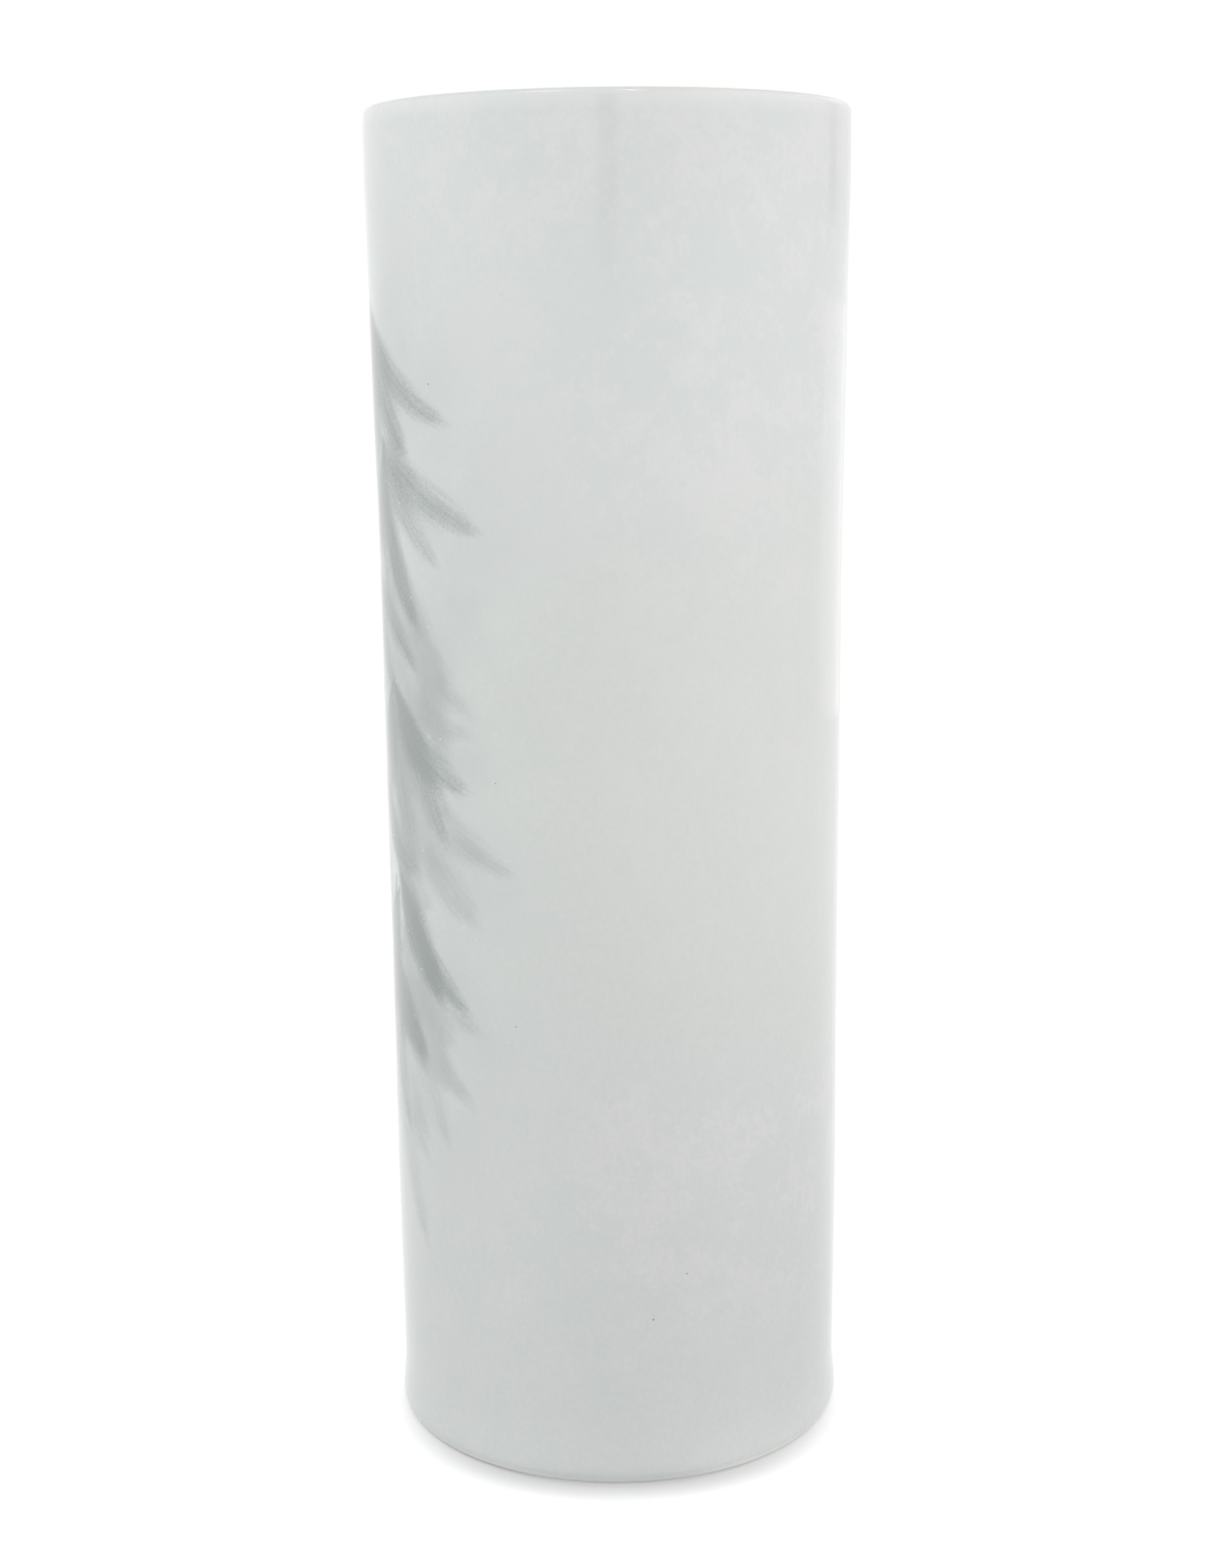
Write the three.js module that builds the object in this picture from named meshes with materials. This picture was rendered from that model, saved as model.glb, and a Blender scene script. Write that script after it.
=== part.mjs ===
// Cylindrical porcelain vase, thrown in three sections that are luted with slip, then glazed.
// Millimetres, +Z up. The origin is the centre of the foot, on the surface that the vase stands on.

import * as THREE from 'three';

// Driving dimensions of the whole vase
const vaseHeight = 310; // foot to the top of the glazed lip
const bodyRadius = 53; // the outline's unit: about the radius of the slight waist above the heel
const turnSteps = 48; // facets round the axis

// Walls and layers
const wallThickness = 5.4; // porcelain only, without glaze
const glazeThickness = 0.45;
const fusedGap = 0.05; // clearance between two layers that are fired onto each other
const layerOffset = glazeThickness + fusedGap; // from a porcelain face to the face of its glaze

// Foot and floor
const footRingHeight = 4; // depth of the recess under the floor
const footRingWidth = 8.5; // at the recess's ceiling
const footContactWidth = 4; // the flat that the vase stands on
const heelRadius = 3; // rounding of the foot's outer edge
const heelSteps = 4; // facets round the heel's quarter circle
const glazedHeelSteps = 2; // of these, the facets that keep their glaze when the foot is wiped
const bareRingHeight = 1.2; // the foot ring's inner slope is wiped clean of glaze up to here
const floorThickness = 7;
const floorCoveRadius = 9; // where the inner wall meets the floor
const coveSteps = 3;

// Seams between the thrown sections
const lowerSeamHeight = 62; // on the outer face
const upperSeamHeight = 205;
const seamBevel = 2.5; // how much higher the seam lies on the inner face
const slipThickness = 0.4;

// Lip
const lipSteps = 6; // facets round the half circle
const lipGlazeLap = 7; // how far the outer glaze runs down inside, below the lip's rounding

// Outline of the glazed outer face: each pair is a share of the height and a share of bodyRadius
const outlineShares = [
  [0.0, 1.0185],
  [0.0115, 1.0165],
  [0.036, 1.0055],
  [0.06, 1.005],
  [0.11, 1.0092],
  [0.2, 1.0135],
  [0.32, 1.0128],
  [0.44, 1.0158],
  [0.56, 1.0193],
  [0.661, 1.019],
  [0.76, 1.0277],
  [0.87, 1.037],
  [0.957, 1.0444],
  [1.0, 1.0447],
];

// Glazed outer radius at a height, on the straight runs between the outline's points
function glazedRadius(height) {
  const share = THREE.MathUtils.clamp(height / vaseHeight, 0, 1);
  const above = Math.max(1, outlineShares.findIndex(([heightShare]) => heightShare >= share));
  const [lowHeightShare, lowRadiusShare] = outlineShares[above - 1];
  const [highHeightShare, highRadiusShare] = outlineShares[above];
  const blend = (share - lowHeightShare) / (highHeightShare - lowHeightShare);
  return bodyRadius * THREE.MathUtils.lerp(lowRadiusShare, highRadiusShare, blend);
}

const bodyOuterRadius = (height) => glazedRadius(height) - layerOffset;
const bodyInnerRadius = (height) => bodyOuterRadius(height) - wallThickness;

// A wall face from one height to another, with a point at each outline height between them
function wallFace(radiusAt, fromHeight, toHeight) {
  const low = Math.min(fromHeight, toHeight);
  const high = Math.max(fromHeight, toHeight);
  const between = outlineShares
    .map(([heightShare]) => heightShare * vaseHeight)
    .filter((height) => height > low && height < high);
  const face = [low, ...between, high].map((height) => new THREE.Vector2(radiusAt(height), height));
  return fromHeight < toHeight ? face : face.reverse();
}

// An arc of an outline about a centre, from one angle to another
function arcFace(centre, radius, fromAngle, toAngle, steps) {
  const face = [];
  for (let step = 0; step <= steps; step += 1) {
    const angle = THREE.MathUtils.lerp(fromAngle, toAngle, step / steps);
    const point = new THREE.Vector2(Math.cos(angle), Math.sin(angle));
    face.push(point.multiplyScalar(radius).add(centre));
  }
  return face;
}

// A named piece turned about +Z from its outline, which runs anticlockwise in radius and height
function turnedPiece(name, outline, material) {
  const onAxis = outline[0].x === 0;
  const closed = onAxis ? outline : [...outline, outline[0].clone()];
  const geometry = new THREE.LatheGeometry(closed, turnSteps);
  geometry.rotateX(Math.PI / 2);
  const piece = new THREE.Mesh(geometry, material);
  piece.name = name;
  return piece;
}

const porcelain = new THREE.MeshStandardMaterial({ color: 0xd9d8d0, roughness: 0.75, metalness: 0 });
const driedSlip = new THREE.MeshStandardMaterial({ color: 0xd2d1c8, roughness: 0.85, metalness: 0 });
const celadonGlaze = new THREE.MeshStandardMaterial({ color: 0xccd2cf, roughness: 0.12, metalness: 0 });

// Heights that the floor and the lip share with the pieces around them
const recessCeilingHeight = footRingHeight;
const floorHeight = recessCeilingHeight + floorThickness;
const lipCentreHeight = vaseHeight - layerOffset - wallThickness / 2;
const lipCentre = new THREE.Vector2(
  bodyOuterRadius(lipCentreHeight) - wallThickness / 2,
  lipCentreHeight,
);
const outerGlazeInsideEnd = lipCentreHeight - lipGlazeLap;

// Foot section: the floor, the foot ring and the lowest part of the wall, thrown as one cup
const heelCentre = new THREE.Vector2(bodyOuterRadius(heelRadius) - heelRadius, heelRadius);
const recessInnerSlope = footRingWidth - footContactWidth - heelRadius;
const recessRadius = heelCentre.x - footContactWidth - recessInnerSlope;
const coveCentreHeight = floorHeight + floorCoveRadius;
const coveCentre = new THREE.Vector2(
  bodyInnerRadius(coveCentreHeight) - floorCoveRadius,
  coveCentreHeight,
);

// The heel's rounding, up from one of its facets to the wall, at a distance outside the porcelain's face
function heelFace(offset, steps) {
  const lowAngle = (-Math.PI / 2) * (steps / heelSteps);
  return arcFace(heelCentre, heelRadius + offset, lowAngle, 0, steps);
}

// The rounded corner between floor and wall, at a distance inside the porcelain's own faces
function coveFace(offset, fromAngle, toAngle) {
  return arcFace(coveCentre, floorCoveRadius - offset, fromAngle, toAngle, coveSteps);
}

const footSection = turnedPiece('foot_section', [
  new THREE.Vector2(0, recessCeilingHeight),
  new THREE.Vector2(recessRadius, recessCeilingHeight),
  new THREE.Vector2(recessRadius + recessInnerSlope, 0),
  ...heelFace(0, heelSteps).slice(0, -1),
  ...wallFace(bodyOuterRadius, heelRadius, lowerSeamHeight),
  ...wallFace(bodyInnerRadius, lowerSeamHeight + seamBevel, coveCentreHeight).slice(0, -1),
  ...coveFace(0, 0, -Math.PI / 2),
  new THREE.Vector2(0, floorHeight),
], porcelain);

// Seams: a bevelled ring of slip between two sections, higher on the inner face
function seamSlip(name, seamHeight) {
  const bottom = seamHeight + fusedGap;
  const top = bottom + slipThickness;
  return turnedPiece(name, [
    new THREE.Vector2(bodyOuterRadius(bottom), bottom),
    new THREE.Vector2(bodyOuterRadius(top), top),
    new THREE.Vector2(bodyInnerRadius(top + seamBevel), top + seamBevel),
    new THREE.Vector2(bodyInnerRadius(bottom + seamBevel), bottom + seamBevel),
  ], driedSlip);
}

const lowerSeam = seamSlip('lower_seam_slip', lowerSeamHeight);
const upperSeam = seamSlip('upper_seam_slip', upperSeamHeight);
const seamDepth = slipThickness + fusedGap + fusedGap;

// Middle section: a plain tube between the two seams
const middleSection = turnedPiece('middle_section', [
  ...wallFace(bodyOuterRadius, lowerSeamHeight + seamDepth, upperSeamHeight),
  ...wallFace(bodyInnerRadius, upperSeamHeight + seamBevel, lowerSeamHeight + seamDepth + seamBevel),
], porcelain);

// Top section: the tube that ends in the rounded lip
const topSection = turnedPiece('top_section', [
  ...wallFace(bodyOuterRadius, upperSeamHeight + seamDepth, lipCentreHeight).slice(0, -1),
  ...arcFace(lipCentre, wallThickness / 2, 0, Math.PI, lipSteps),
  ...wallFace(bodyInnerRadius, lipCentreHeight, upperSeamHeight + seamDepth + seamBevel).slice(1),
], porcelain);

// Outer glaze: from the wiped foot round the heel, up the outside, over the lip and a little way down inside
const outerGlazeInnerFace = (height) => bodyOuterRadius(height) + fusedGap;
const lapBodyFace = (height) => bodyInnerRadius(height) - fusedGap;
const lapOpenFace = (height) => bodyInnerRadius(height) - layerOffset;

const outerGlaze = turnedPiece('outer_glaze', [
  ...heelFace(layerOffset, glazedHeelSteps).slice(0, -1),
  ...wallFace(glazedRadius, heelRadius, lipCentreHeight).slice(0, -1),
  ...arcFace(lipCentre, wallThickness / 2 + layerOffset, 0, Math.PI, lipSteps),
  ...wallFace(lapOpenFace, lipCentreHeight, outerGlazeInsideEnd).slice(1),
  ...wallFace(lapBodyFace, outerGlazeInsideEnd, lipCentreHeight).slice(0, -1),
  ...arcFace(lipCentre, wallThickness / 2 + fusedGap, Math.PI, 0, lipSteps),
  ...wallFace(outerGlazeInnerFace, lipCentreHeight, heelRadius).slice(1),
  ...heelFace(fusedGap, glazedHeelSteps).reverse().slice(1),
], celadonGlaze);

// Inner glaze: the poured lining of the wall and the floor, up to the outer glaze's lap
const innerGlazeTop = outerGlazeInsideEnd - fusedGap;

const innerGlaze = turnedPiece('inner_glaze', [
  new THREE.Vector2(0, floorHeight + fusedGap),
  ...coveFace(fusedGap, -Math.PI / 2, 0).slice(0, -1),
  ...wallFace(lapBodyFace, coveCentreHeight, innerGlazeTop),
  ...wallFace(lapOpenFace, innerGlazeTop, coveCentreHeight).slice(0, -1),
  ...coveFace(layerOffset, 0, -Math.PI / 2),
  new THREE.Vector2(0, floorHeight + layerOffset),
], celadonGlaze);

// Base glaze: the skin of the recess, down the foot ring's inner slope to its wiped edge
const slopeRun = recessInnerSlope / recessCeilingHeight;
const slopeRadius = (height) => recessRadius + slopeRun * (recessCeilingHeight - height);

const baseGlaze = turnedPiece('base_glaze', [
  new THREE.Vector2(0, recessCeilingHeight - layerOffset),
  new THREE.Vector2(
    slopeRadius(recessCeilingHeight - layerOffset) - layerOffset,
    recessCeilingHeight - layerOffset,
  ),
  new THREE.Vector2(slopeRadius(bareRingHeight) - layerOffset, bareRingHeight),
  new THREE.Vector2(slopeRadius(bareRingHeight) - fusedGap, bareRingHeight),
  new THREE.Vector2(
    slopeRadius(recessCeilingHeight - fusedGap) - fusedGap,
    recessCeilingHeight - fusedGap,
  ),
  new THREE.Vector2(0, recessCeilingHeight - fusedGap),
], celadonGlaze);

const vase = new THREE.Group();
vase.add(footSection, lowerSeam, middleSection, upperSeam, topSection);
vase.add(outerGlaze, innerGlaze, baseGlaze);

export default vase;
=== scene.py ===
import bisect
import math
import random

import bmesh
import bpy
from mathutils import Euler, Matrix, Vector


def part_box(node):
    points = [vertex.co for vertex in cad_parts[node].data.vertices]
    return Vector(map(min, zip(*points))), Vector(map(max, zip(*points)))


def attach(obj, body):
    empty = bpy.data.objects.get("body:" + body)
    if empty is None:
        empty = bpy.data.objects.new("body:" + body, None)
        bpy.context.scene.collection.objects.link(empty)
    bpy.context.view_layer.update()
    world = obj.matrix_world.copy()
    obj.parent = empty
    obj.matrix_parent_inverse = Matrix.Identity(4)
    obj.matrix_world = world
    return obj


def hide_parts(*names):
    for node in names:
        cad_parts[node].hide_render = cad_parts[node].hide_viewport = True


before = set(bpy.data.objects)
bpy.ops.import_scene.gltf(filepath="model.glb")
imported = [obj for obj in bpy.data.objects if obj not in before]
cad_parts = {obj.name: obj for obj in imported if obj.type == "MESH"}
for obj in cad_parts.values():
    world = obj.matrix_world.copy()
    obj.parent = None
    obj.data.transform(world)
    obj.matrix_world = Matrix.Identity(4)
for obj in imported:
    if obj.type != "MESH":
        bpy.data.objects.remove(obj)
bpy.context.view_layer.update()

# Foot section
# The lowest thrown section, a porcelain cup with the floor, the turned foot ring and a fifth of the wall.
# It is fine white porcelain, turned when leather hard; only the ring that it stands on is bare of glaze.

vase_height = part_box("outer_glaze")[1].z
body_radius = 0.053  # the unit of the outline's radii
wall_thickness = 0.0054  # porcelain only
glaze_thickness = 0.00045
fused_gap = 0.00005  # between two layers that are fired onto each other
layer_offset = glaze_thickness + fused_gap
foot_ring_height = 0.004
foot_ring_width = 0.0085
foot_contact_width = 0.004
heel_rounding = 0.003
floor_thickness = 0.007
floor_cove_radius = 0.009
seam_bevel = 0.0025  # how much higher a seam lies on the inner face
lower_seam_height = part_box("foot_section")[1].z - seam_bevel
plain_around = 160  # facets round a piece whose finish needs no finer mesh
sectors = 16  # one sector of a piece is spun first, and then repeated
merge_distance = 1e-6
crease_angle = 35  # degrees between two faces, above which the edge between them stays sharp

# The glazed outline: shares of the height, and of the body's radius
outline_shares = [
    (0.0, 1.0185),
    (0.0115, 1.0165),
    (0.036, 1.0055),
    (0.06, 1.005),
    (0.11, 1.0092),
    (0.2, 1.0135),
    (0.32, 1.0128),
    (0.44, 1.0158),
    (0.56, 1.0193),
    (0.661, 1.019),
    (0.76, 1.0277),
    (0.87, 1.037),
    (0.957, 1.0444),
    (1.0, 1.0447),
]


def outline_slope(index):
    """Slope of the smooth outline at one of its points, in radius share for each height share."""
    low = outline_shares[max(index - 1, 0)]
    high = outline_shares[min(index + 1, len(outline_shares) - 1)]
    return (high[1] - low[1]) / (high[0] - low[0])


def glazed_radius(height):
    """Radius of the glazed outer face at a height, on one smooth curve through the outline's points."""
    share = min(max(height / vase_height, 0), 1)
    above = max(1, bisect.bisect_left([at for at, _ in outline_shares], share))
    (low, low_radius), (high, high_radius) = outline_shares[above - 1], outline_shares[above]
    run = high - low
    t = (share - low) / run
    ease = t * t * (3 - 2 * t)
    lean = outline_slope(above - 1) * run * t * (1 - t) ** 2 - outline_slope(above) * run * t * t * (1 - t)
    return body_radius * (low_radius + (high_radius - low_radius) * ease + lean)


def body_outer(height):
    """Radius of the porcelain's outer face, under its glaze."""
    return glazed_radius(height) - layer_offset


def body_inner(height):
    """Radius of the porcelain's inner face, under its glaze."""
    return body_outer(height) - wall_thickness


def wall(radius_at, start, end, steps):
    """Outline points up or down a wall face, as radius and height."""
    heights = [start + (end - start) * step / steps for step in range(steps + 1)]
    return [(radius_at(height), height) for height in heights]


def rounding(centre, radius, start, end, steps):
    """Outline points round an arc, between two angles in degrees."""
    angles = [math.radians(start + (end - start) * step / steps) for step in range(steps + 1)]
    return [(centre[0] + radius * math.cos(a), centre[1] + radius * math.sin(a)) for a in angles]


def turned(name, outline, around, finish, brush=None):
    """A piece turned about the vase's axis from its outline, in place of the CAD node of the same name."""
    shape = bmesh.new()
    corners = [shape.verts.new((radius, 0, height)) for radius, height in outline]
    edges = [shape.edges.new(pair) for pair in zip(corners, corners[1:])]
    if outline[0][0] > 0:
        edges.append(shape.edges.new((corners[-1], corners[0])))
    spin = dict(cent=(0, 0, 0), axis=(0, 0, 1))
    bmesh.ops.spin(shape, geom=edges, angle=math.tau / sectors, steps=around // sectors, **spin)
    sector = shape.verts[:] + shape.edges[:] + shape.faces[:]
    others = sectors - 1
    turn = math.tau * others / sectors
    bmesh.ops.spin(shape, geom=sector, angle=turn, steps=others, use_duplicate=True, **spin)
    bmesh.ops.remove_doubles(shape, verts=shape.verts, dist=merge_distance)
    bmesh.ops.recalc_face_normals(shape, faces=shape.faces)
    for face in shape.faces:
        face.smooth = True
    if brush:
        brush(shape)
    mesh = bpy.data.meshes.new(name)
    shape.to_mesh(mesh)
    shape.free()
    mesh.set_sharp_from_angle(angle=math.radians(crease_angle))
    mesh.materials.append(finish)
    piece = bpy.data.objects.new(name, mesh)
    bpy.context.scene.collection.objects.link(piece)
    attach(piece, "root")
    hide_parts(name.removesuffix("_finish"))


class Tone:
    """A shader socket that takes part in Python sums."""

    def __init__(self, wiring, socket):
        self.wiring = wiring
        self.socket = socket

    def sum(self, operation, first, second):
        return self.wiring.node("ShaderNodeMath", {"operation": operation}, {0: first, 1: second})

    def __add__(self, other):
        return self.sum("ADD", self, other)

    def __radd__(self, other):
        return self.sum("ADD", other, self)

    def __sub__(self, other):
        return self.sum("SUBTRACT", self, other)

    def __rsub__(self, other):
        return self.sum("SUBTRACT", other, self)

    def __mul__(self, other):
        return self.sum("MULTIPLY", self, other)

    def __rmul__(self, other):
        return self.sum("MULTIPLY", other, self)

    def __abs__(self):
        return self.wiring.node("ShaderNodeMath", {"operation": "ABSOLUTE"}, {0: self})


class Wiring:
    """A node tree being made: node() adds any node, and the rest are the nodes that many finishes use."""

    def __init__(self, tree):
        self.tree = tree

    def feed(self, socket, value):
        if isinstance(value, Tone):
            self.tree.links.new(value.socket, socket)
        else:
            socket.default_value = value

    def node(self, kind, settings=None, sockets=None, output=0):
        node = self.tree.nodes.new(kind)
        for name, value in (settings or {}).items():
            setattr(node, name, value)
        for name, value in (sockets or {}).items():
            self.feed(node.inputs[name], value)
        return Tone(self, node.outputs[output])

    def mix(self, mask, under, over):
        """A colour over another one, by a mask."""
        return self.node("ShaderNodeMix", {"data_type": "RGBA"}, {0: mask, 6: under, 7: over}, output=2)

    def between(self, value, low, high, start=0.0, end=1.0):
        """start where the value is at low, end where it is at high, eased between."""
        sockets = {"Value": value, "From Min": low, "From Max": high, "To Min": start, "To Max": end}
        return self.node("ShaderNodeMapRange", {"interpolation_type": "SMOOTHSTEP"}, sockets)

    def distance(self, place, centre=(0, 0, 0)):
        ends = {0: place, 1: centre}
        return self.node("ShaderNodeVectorMath", {"operation": "DISTANCE"}, ends, output="Value")

    def rays(self, first, *others):
        """1 for the rays of these kinds, such as Camera, and 0 for all others."""
        total = self.node("ShaderNodeLightPath", output=f"Is {first} Ray")
        for kind in others:
            total = total + self.node("ShaderNodeLightPath", output=f"Is {kind} Ray")
        return total


class Finish(Wiring):
    """A material being made, from the place of each point on the piece."""

    def __init__(self, name, roughness, specular=0.5):
        self.material = bpy.data.materials.new(name)
        self.material.use_nodes = True
        super().__init__(self.material.node_tree)
        self.surface = self.tree.nodes["Principled BSDF"]
        self.surface.inputs["Roughness"].default_value = roughness
        self.surface.inputs["Specular IOR Level"].default_value = specular
        self.place = self.node("ShaderNodeTexCoord", output="Object")

    def noise(self, size, detail=2.0, stretch=(1, 1, 1), place=None, roughness=0.5):
        """Cloudy noise from 0 to 1, whose blots are about as wide as size, in metres."""
        placed = self.node("ShaderNodeMapping", None, {"Vector": place or self.place, "Scale": stretch})
        sockets = {"Vector": placed, "Scale": 0.5 / size, "Detail": detail, "Roughness": roughness}
        return self.node("ShaderNodeTexNoise", {"noise_dimensions": "3D"}, sockets)

    def spots(self, spacing, whole, edge):
        """Round spots at a spacing: 1 within one radius of each one's middle, 0 beyond the other."""
        sockets = {"Vector": self.place, "Scale": 1 / spacing}
        distance = self.node("ShaderNodeTexVoronoi", None, sockets, output="Distance")
        return self.between(distance, whole / spacing, edge / spacing, 1.0, 0.0)

    def bump(self, height, distance, normal=None):
        """A bump whose height runs from 0 to 1 over distance, in metres."""
        sockets = {"Height": height, "Strength": 1.0, "Distance": distance}
        if normal:
            sockets["Normal"] = normal
        return self.node("ShaderNodeBump", None, sockets)

    def done(self, **sockets):
        for name, value in sockets.items():
            self.feed(self.surface.inputs[name.replace("_", " ")], value)
        return self.material


def bare_porcelain():
    """Turned, fired porcelain: matt, warm white, with fine tool rings and a little kiln dust."""
    finish = Finish("bare_porcelain", roughness=0.7, specular=0.35)
    porcelain = (0.80, 0.785, 0.74, 1)
    toasted = (0.66, 0.58, 0.47, 1)
    rings = finish.noise(size=0.0004, stretch=(0.03, 0.03, 1))
    dust = finish.between(finish.noise(size=0.006, detail=4), 0.52, 0.75)
    colour = finish.mix(dust * 0.4, porcelain, toasted)
    colour = finish.mix(rings * 0.12, colour, toasted)
    return finish.done(Base_Color=colour, Normal=finish.bump(rings, distance=0.00008))


porcelain_finish = bare_porcelain()
heel_centre = (body_outer(heel_rounding) - heel_rounding, heel_rounding)
recess_slope = foot_ring_width - foot_contact_width - heel_rounding
recess_radius = heel_centre[0] - foot_contact_width - recess_slope
floor_height = foot_ring_height + floor_thickness
cove_height = floor_height + floor_cove_radius
cove_centre = (body_inner(cove_height) - floor_cove_radius, cove_height)
heel_steps = 8
cove_steps = 8
foot_outer_steps = 24
foot_inner_steps = 12

turned(
    "foot_section_finish",
    [(0, foot_ring_height), (recess_radius, foot_ring_height)]
    + [(recess_radius + recess_slope, 0)]
    + rounding(heel_centre, heel_rounding, -90, 0, heel_steps)
    + wall(body_outer, heel_rounding, lower_seam_height, foot_outer_steps)[1:]
    + wall(body_inner, lower_seam_height + seam_bevel, cove_height, foot_inner_steps)[:-1]
    + rounding(cove_centre, floor_cove_radius, 0, -90, cove_steps)
    + [(0, floor_height)],
    plain_around,
    porcelain_finish,
)

# Lower seam slip
# A thin bevelled ring of fired slip that lutes the middle section onto the foot section.
# It is the same porcelain, thinned with water, so it fires a little greyer and rougher.

slip_thickness = 0.0004


def fired_slip():
    """Slip squeezed out of a seam and wiped: matt, with a granular skin."""
    finish = Finish("fired_slip", roughness=0.85, specular=0.3)
    pale = (0.66, 0.65, 0.60, 1)
    dull = (0.56, 0.55, 0.50, 1)
    grain = finish.noise(size=0.0005, detail=5)
    return finish.done(Base_Color=finish.mix(grain, pale, dull), Normal=finish.bump(grain, distance=0.0001))


def seam_slip(name, bottom):
    """The ring of slip between two sections, bevelled so that it lies higher on the inner face."""
    top = bottom + slip_thickness
    outline = [(body_outer(bottom), bottom), (body_outer(top), top)]
    outline += [(body_inner(top + seam_bevel), top + seam_bevel)]
    outline += [(body_inner(bottom + seam_bevel), bottom + seam_bevel)]
    turned(name + "_finish", outline, plain_around, slip_finish)


slip_finish = fired_slip()
seam_slip("lower_seam_slip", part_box("lower_seam_slip")[0].z)

# Middle section
# The tube of wall between the two seams, thrown by itself and stacked when leather hard.
# It is bare porcelain under both glazes, with bevelled ends that match the seams.

middle_low, middle_high = (corner.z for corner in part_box("middle_section"))
section_steps = 30

turned(
    "middle_section_finish",
    wall(body_outer, middle_low, middle_high - seam_bevel, section_steps)
    + wall(body_inner, middle_high, middle_low + seam_bevel, section_steps),
    plain_around,
    porcelain_finish,
)

# Upper seam slip
# The ring of slip that lutes the top section onto the middle section, at two thirds of the height.
# The wall's slope changes a little here, where the two throwings meet.

seam_slip("upper_seam_slip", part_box("upper_seam_slip")[0].z)

# Top section
# The last tube of wall, which flares slightly and ends in a lip that was rounded with a wet leather, a
# little flat on top. It is bare porcelain under the glazes.

lip_height = vase_height - layer_offset - wall_thickness / 2
lip_centre = (body_outer(lip_height) - wall_thickness / 2, lip_height)
lip_flatness = 3.5  # 2 would make the lip a half circle; a higher value flattens its top and its sides
body_lip_steps = 12


def lip_face(offset, start, end, steps):
    """Outline points over the lip between two angles in degrees, at a distance outside the porcelain."""
    reach = wall_thickness / 2 + offset
    power = 2 / lip_flatness
    face = []
    for aside, up in rounding((0, 0), 1, start, end, steps):
        aside = math.copysign(abs(aside) ** power, aside)
        face.append((lip_centre[0] + reach * aside, lip_centre[1] + reach * abs(up) ** power))
    return face


top_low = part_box("top_section")[0].z

turned(
    "top_section_finish",
    wall(body_outer, top_low, lip_height, section_steps)[:-1]
    + lip_face(0, 0, 180, body_lip_steps)
    + wall(body_inner, lip_height, top_low + seam_bevel, section_steps)[1:],
    plain_around,
    porcelain_finish,
)

# Base glaze
# The skin of glaze in the recess under the floor, down to where the foot ring was wiped.
# It is the same pale celadon, poured thin.


def celadon(name):
    """The pale glaze alone: its finish, its clouded colour, its flakes and grain, a painted shade low down,
    and its uneven surface.
    """
    finish = Finish(name, roughness=0.09)
    finish.height = height = finish.node("ShaderNodeSeparateXYZ", None, {0: finish.place}, output="Z")

    # Two tones in wide clouds, and a greener one round the middle of the wall
    cool = (0.630, 0.658, 0.655, 1)
    green = (0.622, 0.652, 0.640, 1)
    middle_wall_green = (0.632, 0.654, 0.622, 1)
    clouds = finish.noise(size=0.045, detail=3)
    middle_wall = finish.between(height, 0.07, 0.12) * finish.between(height, 0.18, 0.25, 1.0, 0.0)
    colour = finish.mix(finish.between(clouds, 0.38, 0.62), cool, green)
    colour = finish.mix(middle_wall * 0.8, colour, middle_wall_green)

    # Flakes of milkier glaze, faint on the middle of the wall and strong low down
    milky = (0.762, 0.721, 0.715, 1)
    flakes = finish.noise(size=0.010, detail=12, roughness=0.86)
    low_wall = finish.between(height, 0.030, 0.050) * finish.between(height, 0.085, 0.115, 1.0, 0.0)
    flaked = 0.24 - 0.09 * middle_wall + 0.18 * low_wall
    colour = finish.mix(finish.between(flakes, 0.495, 0.53) * flaked, colour, milky)

    # Painted shade: darker lower down on the wall, where less light falls, and a fine grain all over
    painted_low_shade = (0.510, 0.533, 0.527, 1)
    grain = finish.noise(size=0.0006, detail=2)
    colour = finish.mix(finish.between(height, 0.03, 0.25, 1.0, 0.0) * 0.50, colour, painted_low_shade)
    colour = finish.mix(finish.between(grain, 0.35, 0.7) * 0.12, colour, milky)

    # Slow swells, and a faint ripple on them
    swells = finish.noise(size=0.012, detail=2, stretch=(1, 1, 1.6))
    ripples = finish.noise(size=0.0022, detail=2)
    finish.relief = finish.bump(swells, distance=0.00006)
    finish.relief = finish.bump(ripples, distance=0.000006, normal=finish.relief)
    return finish, colour


def lining_glaze():
    """The poured glaze inside and underneath: as the outer glaze, with a few pinholes."""
    finish, colour = celadon("lining_glaze")
    body_brown = (0.40, 0.38, 0.33, 1)
    pinholes = finish.spots(spacing=0.011, whole=0.00022, edge=0.00055)
    return finish.done(Base_Color=finish.mix(pinholes * 0.5, colour, body_brown), Normal=finish.relief)


def slope_radius(height):
    """Radius of the foot ring's inner slope at a height."""
    return recess_radius + recess_slope * (foot_ring_height - height) / foot_ring_height


lining_finish = lining_glaze()
bare_ring_height = 0.0012  # the foot ring's inner slope is wiped clean of glaze up to here
skin_low = foot_ring_height - layer_offset
skin_high = foot_ring_height - fused_gap
corner_rounding = 2 * layer_offset
corner_centre = (slope_radius(skin_low) - layer_offset - corner_rounding, skin_low - corner_rounding)
corner_steps = 5

turned(
    "base_glaze_finish",
    [(0, skin_low), (corner_centre[0], skin_low)]
    + rounding(corner_centre, corner_rounding, 90, 0, corner_steps)
    + [(slope_radius(bare_ring_height) - layer_offset, bare_ring_height)]
    + [(slope_radius(bare_ring_height) - fused_gap, bare_ring_height)]
    + [(slope_radius(skin_high) - fused_gap, skin_high), (0, skin_high)],
    plain_around,
    lining_finish,
)

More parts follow.
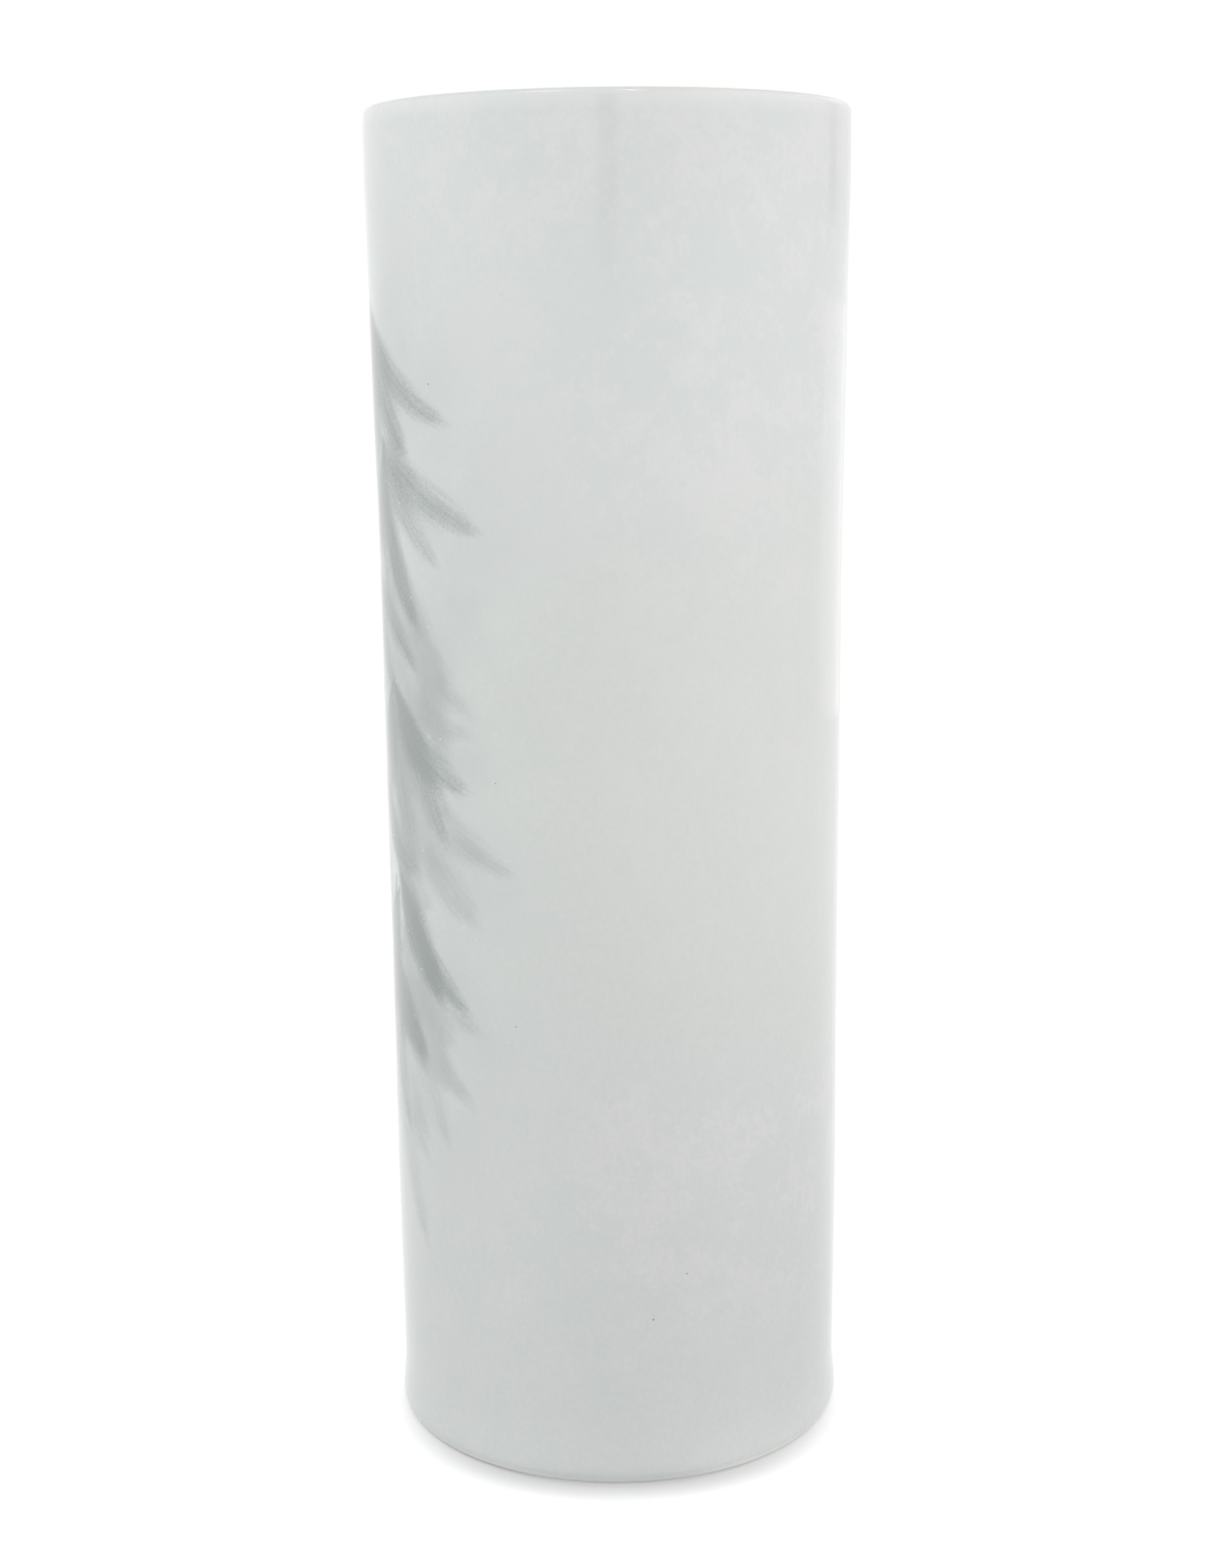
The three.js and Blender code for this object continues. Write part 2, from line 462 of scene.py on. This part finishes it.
# Inner glaze
# The lining that was poured in, swilled round and poured out, over the inner wall, its cove and the floor.
# It ends under the lap of the outer glaze, just inside the lip.


def lining_back(height):
    """Radius of the face of an inner glaze that lies on the porcelain."""
    return body_inner(height) - fused_gap


def lining_face(height):
    """Radius of the open face of an inner glaze."""
    return body_inner(height) - layer_offset


lining_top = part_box("inner_glaze")[1].z
lining_steps = 60
lining_cove_steps = 12

turned(
    "inner_glaze_finish",
    [(0, floor_height + fused_gap)]
    + rounding(cove_centre, floor_cove_radius - fused_gap, -90, 0, cove_steps)[:-1]
    + wall(lining_back, cove_height, lining_top, section_steps)
    + wall(lining_face, lining_top, cove_height, lining_steps)[:-1]
    + rounding(cove_centre, floor_cove_radius - layer_offset, 0, -90, lining_cove_steps)
    + [(0, floor_height + layer_offset)],
    plain_around,
    lining_finish,
)

# Outer glaze
# The glossy celadon skin that was sprayed over the brush painting, from the wiped heel up and over the lip.
# It is thin and milky on the lip with a painted highlight there, clouded on the wall, darker low down with
# painted shade and pale at the heel with painted light, and a few specks of iron have burnt through it.

lip_lap = 0.007  # how far it runs down inside, below the lip's rounding
lap_end = lip_height - lip_lap
painted_around = 320
painted_rings = 240
ring_step = (lip_height - heel_rounding) / painted_rings
glazed_heel = -45  # degrees round the heel, below the horizontal, where the foot was wiped
unrolled_radius = body_radius * 1.02  # the wall's mean radius, for distances round it
seam_turn = -100  # degrees left of the front where the unrolled painting starts

# Bamboo in soft grey-green brushwork. A spray is a fan of leaves that hangs from one point, given in degrees
# left of the front and as a share of the height, with the way it hangs, in degrees towards the left.
near_sprays = [
    (79, 0.86, -18), (71, 0.76, -22), (84, 0.67, -14), (69, 0.59, -24), (79, 0.51, -24),
    (69, 0.44, -20), (76, 0.38, -20), (97, 0.79, 16), (130, 0.81, -10), (144, 0.62, 12),
    (122, 0.47, 16), (170, 0.72, -14), (192, 0.56, 10), (162, 0.39, -10), (214, 0.74, 18),
]
far_sprays = [
    (86, 0.80, -16), (76, 0.67, -8), (71, 0.62, -20), (88, 0.58, -16), (76, 0.50, -6), (71, 0.39, -16),
    (66, 0.71, -14), (64, 0.53, -20), (66, 0.40, -18), (80, 0.35, -18), (106, 0.55, -12), (113, 0.70, 6),
    (140, 0.74, 14), (155, 0.52, -14), (180, 0.65, 16), (206, 0.60, -6), (184, 0.43, 10),
]
# Stems run up from one point to another, in the same degrees and shares
stems = [((116, 0.16), (100, 0.92)), ((149, 0.13), (155, 0.90)), ((200, 0.19), (186, 0.86))]
shoot_rise = 0.07  # how far below its spray a shoot leaves the stem, as a share of the height

leaf_length = 0.044
leaf_width = 0.0086
leaf_fan = 21  # degrees between the leaves of a spray
leaf_fan_stray = 7
leaf_root_stray = 0.003
far_size = 1.15  # of the leaves behind, against the near ones
stem_width = 0.0030
stem_taper = 0.35
joint_spacing = 0.036  # along a stem
joint_gap = 0.03  # bare end of each of a stem's strokes, as a share of the spacing
shoot_width = 0.0016
shoot_bend = 0.08

# Shares of a stroke's length: where it is widest, how much its ink fades, and the end that the brush leaves
# as it lifts. A higher point keeps the stroke wide for longer.
leaf_stroke = dict(widest=0.42, point=2.2, fade=0.42, lift=0.16)
stem_stroke = dict(widest=0.05, point=9, fade=0.2, lift=0.01)
shoot_stroke = dict(widest=0.1, point=3, fade=0.3, lift=0.1)
near_edge = 1.0  # how much of a stroke's half width its soft edge takes
far_edge = 1.1
stroke_rim = 0.002  # beyond its edge, how far the lines of its hairs are laid down
thinnest_half = 0.0002  # half the width of a stroke's very ends
side_load = 0.15  # how far the brush's ink strays to each side, so that one edge is the darker

mist_size = 0.027  # of the wash round each spray
mist_reach = 2.6 * mist_size
mist_drop = 0.04  # of its middle below the spray's root, as a share of the height
mist_strength = 0.52
chance = random.Random(12)


def unrolled(turn, share):
    """A place on the unrolled wall, metres left of the front and up, from degrees and a share of height."""
    return Vector((math.radians(turn) * unrolled_radius, share * vase_height))


def leaf(root, hang, size, edge):
    """One leaf's stroke: pressed down at the root, bent a little and lifted off in a long point."""
    length = leaf_length * size * chance.uniform(0.7, 1.25)
    tip = root + Vector((math.sin(hang), -math.cos(hang))) * length
    width = leaf_width * size * chance.uniform(0.75, 1.2)
    bend = chance.uniform(-0.05, 0.14) * length
    ink = chance.uniform(0.68, 1.05)
    return dict(leaf_stroke, start=root, end=tip, width=width, bend=bend, ink=ink, edge=edge)


def spray(turn, share, hang, size, edge):
    """A fan of leaves from one point, the middle ones the longest."""
    count = chance.randint(4, 5)
    leaves = []
    for place in range(count):
        aside = place - (count - 1) / 2
        fan = math.radians(hang + aside * leaf_fan + chance.uniform(-leaf_fan_stray, leaf_fan_stray))
        stray = Vector((chance.uniform(-1, 1), chance.uniform(-1, 1))) * leaf_root_stray
        share_of_size = 1.1 - 0.5 * abs(aside) / count
        leaves.append(leaf(unrolled(turn, share) + stray, fan, size * share_of_size, edge))
    return leaves


def stem(foot, head):
    """A stem in short strokes, with a bare gap at each joint."""
    start, end = unrolled(*foot), unrolled(*head)
    count = max(1, round((end - start).length / joint_spacing))
    strokes = []
    for place in range(count):
        low = start.lerp(end, (place + joint_gap) / count)
        high = start.lerp(end, (place + 1 - joint_gap) / count)
        width = stem_width * (1 - stem_taper * place / count)
        ink = chance.uniform(0.6, 0.9)
        strokes.append(dict(stem_stroke, start=low, end=high, width=width, bend=0, ink=ink, edge=near_edge))
    return strokes


def shoot(turn, share):
    """The thin side shoot that a spray hangs from, in one bent stroke up from the nearest stem."""
    level = share - shoot_rise
    turns = [low[0] + (high[0] - low[0]) * (level - low[1]) / (high[1] - low[1]) for low, high in stems]
    start = unrolled(min(turns, key=lambda at: abs(at - turn)), level)
    end = unrolled(turn, share)
    bend = shoot_bend * (end.x - start.x)
    return dict(shoot_stroke, start=start, end=end, width=shoot_width, bend=bend, ink=0.8, edge=near_edge)


def stroke_mark(stroke, place):
    """Ink of a stroke at a place, with the place across and along its hairs, or None well outside it."""
    line = stroke["end"] - stroke["start"]
    offset = place - stroke["start"]
    reach = offset.dot(line) / line.length_squared
    along = min(max(reach, 0), 1)
    middle = stroke["bend"] * 4 * along * (1 - along)
    rise = min(along / stroke["widest"], 1)
    fall = max(along - stroke["widest"], 0) / (1 - stroke["widest"])
    half = stroke["width"] / 2 * math.sin(math.pi / 2 * rise) * (1 - fall ** stroke["point"]) + thinnest_half
    aside = (line.x * offset.y - line.y * offset.x) / line.length - middle
    if abs(aside) > half + stroke_rim or abs(reach - along) * line.length > stroke_rim:
        return None
    inside = (1 + stroke["edge"] / 2 - abs(aside) / half) / stroke["edge"] if reach == along else 0
    loaded = 1 - side_load + side_load * max(-1, min(aside / half, 1))
    lifted = min(1, (1 - along) / stroke["lift"])
    ink = max(0, min(inside, 1)) * loaded * stroke["ink"] * (1 - stroke["fade"] * along) * lifted
    return ink, 2 * aside / stroke["width"], reach * line.length / stroke["width"]


def paint(shape):
    """Brushes the painting onto the outer face: ink for each layer, the wash, and the hairs of the brush."""
    inks = "near_ink", "far_ink", "stem_ink", "wash_ink"
    layers = {name: shape.verts.layers.float.new(name) for name in inks}
    hair_layer = shape.verts.layers.float_vector.new("brush_hair")
    rings = [[] for _ in range(painted_rings + 1)]
    for vert in shape.verts:
        radius, height = vert.co.xy.length, vert.co.z
        on_face = radius > glazed_radius(height) - glaze_thickness / 2
        if on_face and heel_rounding - merge_distance < height < lip_height:
            turn = math.degrees(math.atan2(-vert.co.x, -vert.co.y))
            turn += 360 if turn < seam_turn else 0
            ring = rings[round((height - heel_rounding) / ring_step)]
            ring.append((math.radians(turn) * unrolled_radius, vert))
    for ring in rings:
        ring.sort(key=lambda item: item[0])
    columns = [aside for aside, _ in rings[0]]

    def reached(low, high, reach):
        """Places and vertices of the wall in the rectangle between two corners, widened by a reach."""
        first = max(0, math.floor((low.y - reach - heel_rounding) / ring_step))
        last = max(0, math.ceil((high.y + reach - heel_rounding) / ring_step))
        left, right = bisect.bisect(columns, low.x - reach), bisect.bisect(columns, high.x + reach)
        for ring in rings[first:last]:
            for aside, vert in ring[left:right]:
                yield Vector((aside, vert.co.z)), vert

    def lay_strokes(name, strokes):
        """Lays the ink of some strokes into a layer, with the lines of their hairs."""
        layer = layers[name]
        for stroke in strokes:
            ends = stroke["start"], stroke["end"]
            low, high = (Vector(map(pick, *ends)) for pick in (min, max))
            variety = chance.uniform(0.05, 0.45)
            for place, vert in reached(low, high, stroke["width"] + stroke_rim + abs(stroke["bend"])):
                mark = stroke_mark(stroke, place)
                if mark:
                    ink, across, along = mark
                    if ink > vert[layer] or vert[hair_layer].z == 0:
                        vert[hair_layer] = (across, along, variety)
                    vert[layer] = 1 - (1 - vert[layer]) * (1 - ink)

    for turn, share, hang in far_sprays:
        lay_strokes("far_ink", spray(turn, share, hang, far_size, far_edge))
    for turn, share, hang in near_sprays:
        lay_strokes("near_ink", spray(turn, share, hang, 1, near_edge))
    for foot, head in stems:
        lay_strokes("stem_ink", stem(foot, head))
    lay_strokes("stem_ink", [shoot(turn, share) for turn, share, _ in near_sprays])

    for turn, share, _ in near_sprays + far_sprays:
        centre = unrolled(turn, share - mist_drop)
        for place, vert in reached(centre, centre, mist_reach):
            mist = mist_strength * math.exp(-(place - centre).length_squared / (2 * mist_size ** 2))
            vert[layers["wash_ink"]] = 1 - (1 - vert[layers["wash_ink"]]) * (1 - mist)


def painted_celadon():
    """The glaze over its painting, thin and pale at the lip with a painted highlight there, painted light at
    the heel, and iron specks and pinholes.
    """
    finish, colour = celadon("painted_celadon")

    def attribute(name, output="Fac"):
        return finish.node("ShaderNodeAttribute", {"attribute_name": name}, output=output)

    # The wash and the three layers of strokes, streaked along each stroke by the brush's hairs
    wash_colour = (0.500, 0.535, 0.532, 1)
    far_colour = (0.370, 0.398, 0.390, 1)
    near_colour = (0.250, 0.278, 0.268, 1)
    stem_colour = (0.330, 0.340, 0.318, 1)
    wash = attribute("wash_ink")
    hairs = attribute("brush_hair", "Vector")
    hair = finish.noise(size=0.14, detail=5, stretch=(1.0, 0.10, 1.7), place=hairs, roughness=0.7)
    pigment = finish.noise(size=0.0002, detail=2, roughness=0.6)
    grain = 0.6 * (pigment - 0.5) + 0.7 * (hair - 0.5)

    def laid(ink):
        """How strongly an ink shows: broken into grains and hair lines where it is thin."""
        return finish.between(ink + grain * finish.between(ink, 0.0, 0.25), 0.02, 0.90)

    blots = finish.between(finish.noise(size=0.010, detail=4, roughness=0.6), 0.3, 0.7)
    colour = finish.mix(wash * (0.25 + 0.60 * blots), colour, wash_colour)
    colour = finish.mix(laid(attribute("far_ink")) * (0.50 + 0.32 * blots), colour, far_colour)
    colour = finish.mix(laid(attribute("stem_ink")) * 0.80, colour, stem_colour)
    colour = finish.mix(laid(attribute("near_ink")) * 0.90, colour, near_colour)

    # The lip: thin, milky glaze, lighter still as a painted highlight, with faint warm patches where the
    # body glows through; at the heel, painted light, pale as though lit from the floor below
    lip_milk_and_highlight = (0.735, 0.75, 0.735, 1)
    warm_body = (0.64, 0.56, 0.48, 1)
    painted_heel_light = (0.82, 0.83, 0.80, 1)
    height, top = finish.height, vase_height
    on_lip = finish.between(height, top - 0.0050, top - 0.0022)
    crest = finish.between(height, top - 0.0022, top - 0.0004)
    warm = finish.between(finish.noise(size=0.02, detail=2), 0.50, 0.68)
    at_heel = finish.between(height, 0.0003, 0.0024, 1.0, 0.0)
    colour = finish.mix(on_lip * 0.30, colour, lip_milk_and_highlight)
    colour = finish.mix(crest * warm * 0.16, colour, warm_body)
    colour = finish.mix(at_heel * 0.70, colour, painted_heel_light)

    # Iron specks all over, and pale pinholes where the glaze lies on the painting
    burnt_iron = (0.10, 0.085, 0.07, 1)
    pale_hole = (0.72, 0.75, 0.74, 1)
    specks = finish.spots(spacing=0.014, whole=0.00014, edge=0.00030)
    pinholes = finish.spots(spacing=0.0042, whole=0.00014, edge=0.00034) * wash
    colour = finish.mix(specks * 0.7, colour, burnt_iron)
    colour = finish.mix(pinholes * 0.7, colour, pale_hole)
    relief = finish.bump(1 - pinholes, distance=0.00003, normal=finish.relief)
    return finish.done(Base_Color=colour, Normal=relief)


def skin_back(height):
    """Radius of the outer glaze's face that lies on the porcelain."""
    return body_outer(height) + fused_gap


# Steps along each part of the skin's outline: the face that shows, the lap, and the back
heel_face_steps, lip_face_steps, lap_face_steps = 5, 20, 5
lap_back_steps, skin_back_steps, heel_back_steps = 3, 14, 6

turned(
    "outer_glaze_finish",
    rounding(heel_centre, heel_rounding + layer_offset, glazed_heel, 0, heel_face_steps)[:-1]
    + wall(glazed_radius, heel_rounding, lip_height, painted_rings)[:-1]
    + lip_face(layer_offset, 0, 180, lip_face_steps)
    + wall(lining_face, lip_height, lap_end, lap_face_steps)[1:]
    + wall(lining_back, lap_end, lip_height, lap_back_steps)[:-1]
    + lip_face(fused_gap, 180, 0, body_lip_steps)
    + wall(skin_back, lip_height, heel_rounding, skin_back_steps)[1:]
    + rounding(heel_centre, heel_rounding + fused_gap, 0, glazed_heel, heel_back_steps)[1:],
    painted_around,
    painted_celadon(),
    paint,
)

# Camera
# At the photograph's place and angle: close in front, a little below the rim, looking slightly down.
# Its focal length, distance and angles come from the straight sides and the rim and foot curves.

photo_height_px = 2184
focal_px = 3312
camera_data = bpy.data.cameras.new("camera")
camera_data.sensor_fit = "AUTO"
camera_data.sensor_width = 36
camera_data.lens = focal_px / photo_height_px * camera_data.sensor_width
camera_data.clip_start = 0.01
camera = bpy.data.objects.new("camera", camera_data)
bpy.context.scene.collection.objects.link(camera)
camera_distance = 0.5577
camera_height = 0.2663
pitch, yaw, roll = (math.radians(angle) for angle in (11.400, 0.18, -0.610))
aim = Euler((math.pi / 2 - pitch, 0, yaw)).to_matrix() @ Matrix.Rotation(roll, 3, "Z")
camera.matrix_world = Matrix.Translation((0, -camera_distance, camera_height)) @ aim.to_4x4()
bpy.context.scene.camera = camera

# Floor
# A wide pale floor that runs white into the background and keeps the vase's soft contact shadow, partly real
# and partly painted.
# Close to the foot's two sides it also throws a little light up under the heel.

floor_half = 30.0
floor_shape = bmesh.new()
bmesh.ops.create_grid(floor_shape, x_segments=1, y_segments=1, size=floor_half)
floor_mesh = bpy.data.meshes.new("floor")
floor_shape.to_mesh(floor_mesh)
floor_shape.free()
floor = bpy.data.objects.new("floor", floor_mesh)
bpy.context.scene.collection.objects.link(floor)

floor_white = (0.70, 0.70, 0.70, 1)
ground = Finish("pale_floor", roughness=0.9, specular=0.0)
ground.surface.inputs["Base Color"].default_value = floor_white

# Seen by the camera or in the glaze, it glows: dark close round the foot, a painted shadow, then up to the
# room's white, fast and then slowly. A faint painted light under the foot's edge keeps the dark contact line
# thin.
shadow_place = (0, -0.009, 0)
spread = ground.distance(ground.place, shadow_place)
fast_rise = ground.between(spread, 0.0445, 0.058, 0.05, 0.49)
slow_rise = ground.between(spread, 0.060, 0.9, 0, 0.25)
under_edge = ground.between(spread, 0.0436, 0.0451, 0.16, 0)
glow = fast_rise + slow_rise + under_edge

# To the vase itself, it glows only in a ring round the foot, at both sides and more on the right
across = ground.node("ShaderNodeSeparateXYZ", None, {0: ground.place}, output="X")
at_sides = ground.between(abs(across), 0.008, 0.032)
near_foot = ground.between(ground.distance(ground.place), 0.058, 0.072, 1.0, 0.0)
bounce = at_sides * near_foot * ground.between(across, -0.01, 0.03, 0.13, 0.29)

seen = ground.rays("Camera", "Glossy", "Transmission")
shining = {"Strength": 1.0, "Color": bounce + seen * (glow - bounce)}
lift = ground.node("ShaderNodeEmission", None, shining, output="Emission")
lit = Tone(ground, ground.surface.outputs[0])
shown = ground.node("ShaderNodeAddShader", None, {0: lit, 1: lift})
ground.feed(ground.tree.nodes["Material Output"].inputs["Surface"], shown)
floor_mesh.materials.append(ground.material)

# Lights
# Three large soft panels light the vase from the left, the right and high in front, without glare in the
# glaze, and small ones show in the glaze alone: two glints on the lip and a window's edge on the right.


def soft_panel(name, place, size, power, tint=(1, 1, 1), target=(0, 0, 0.155), gleam=False):
    """A soft light that faces a target: it lights the surfaces, or gleams in the glaze alone."""
    data = bpy.data.lights.new(name, "AREA")
    data.shape = "RECTANGLE"
    data.size, data.size_y = size
    data.energy = power
    data.color = tint
    panel = bpy.data.objects.new(name, data)
    bpy.context.scene.collection.objects.link(panel)
    facing = Vector(target) - Vector(place)
    panel.rotation_euler = facing.to_track_quat("-Z", "Y").to_euler()
    panel.location = place
    panel.visible_camera = False
    panel.visible_glossy = gleam
    panel.visible_diffuse = not gleam


soft_panel("left_panel", (-0.75, 0.0, 0.50), (0.5, 0.6), 2.25, tint=(0.97, 1.0, 0.99))
soft_panel("right_panel", (0.75, 0.0, 0.50), (0.5, 0.6), 2.15, tint=(1.0, 0.985, 0.99))
soft_panel("front_panel", (0.05, -0.85, 0.60), (0.7, 0.5), 3.30)
lip_place = (0, -0.05, vase_height)
soft_panel("left_glint", (-0.291, -0.247, 1.18), (0.26, 0.26), 0.62, target=lip_place, gleam=True)
soft_panel("right_glint", (0.130, -0.376, 1.18), (0.07, 0.26), 0.36, target=lip_place, gleam=True)
soft_panel("window_edge", (0.428, 0.446, 0.165), (0.37, 0.195), 0.052, target=(0.05, 0, 0.165), gleam=True)

room = bpy.data.worlds.new("pale_room")
room.use_nodes = True
bpy.context.scene.world = room
air = Wiring(room.node_tree)
direction = air.node("ShaderNodeTexCoord", output="Generated")
aside, along, up = (air.node("ShaderNodeSeparateXYZ", None, {0: direction}, output=axis) for axis in "XYZ")

# The room is white to the camera, and lights the vase as a pale tent, brightest at the vase's height
room_white = 1.0
tent = air.between(up, 0.0, 0.9, 0.70, 0.54)

# In the glaze it is bright at the sides and behind, a little less so on the right and high up, and bright
# again high on the right, where the lip shows it. The camera and a gap in the tent show as dark places.
right_shade = 0.14 * air.between(aside, 0.0, 0.5) * air.between(up, 0.0, 0.05)
high_shade = air.between(0.45 * along + 0.9 * up, 0.55, 0.85, 1.0, 0.80)
high_gleam = 0.5 * air.between(aside, 0.28, 0.5) * air.between(up, 0.15, 0.35)
camera_shape = air.between(abs(aside), 0.06, 0.10, 1.0, 0.0) * air.between(along, -0.9, -0.8, 1.0, 0.0)
gap_shape = air.between(abs(aside - 0.765), 0.02, 0.075, 1.0, 0.0)
gap_shape = gap_shape * air.between(along, 0.3, 0.4) * air.between(up, 0.01, 0.035)
mirrored = air.between(along, -0.8, 0.3, room_white, 1.18) - right_shade
mirrored = mirrored * high_shade * (1 + high_gleam)
mirrored = mirrored * (1 - 0.9 * camera_shape) * (1 - 0.28 * gap_shape)

camera_ray = air.rays("Camera")
mirror_ray = air.rays("Glossy", "Transmission")
level = tent + camera_ray * (room_white - tent) + mirror_ray * (mirrored - tent)
air.feed(room.node_tree.nodes["Background"].inputs["Color"], (1, 1, 1, 1))
air.feed(room.node_tree.nodes["Background"].inputs["Strength"], level)
bpy.context.scene.view_settings.view_transform = "Standard"
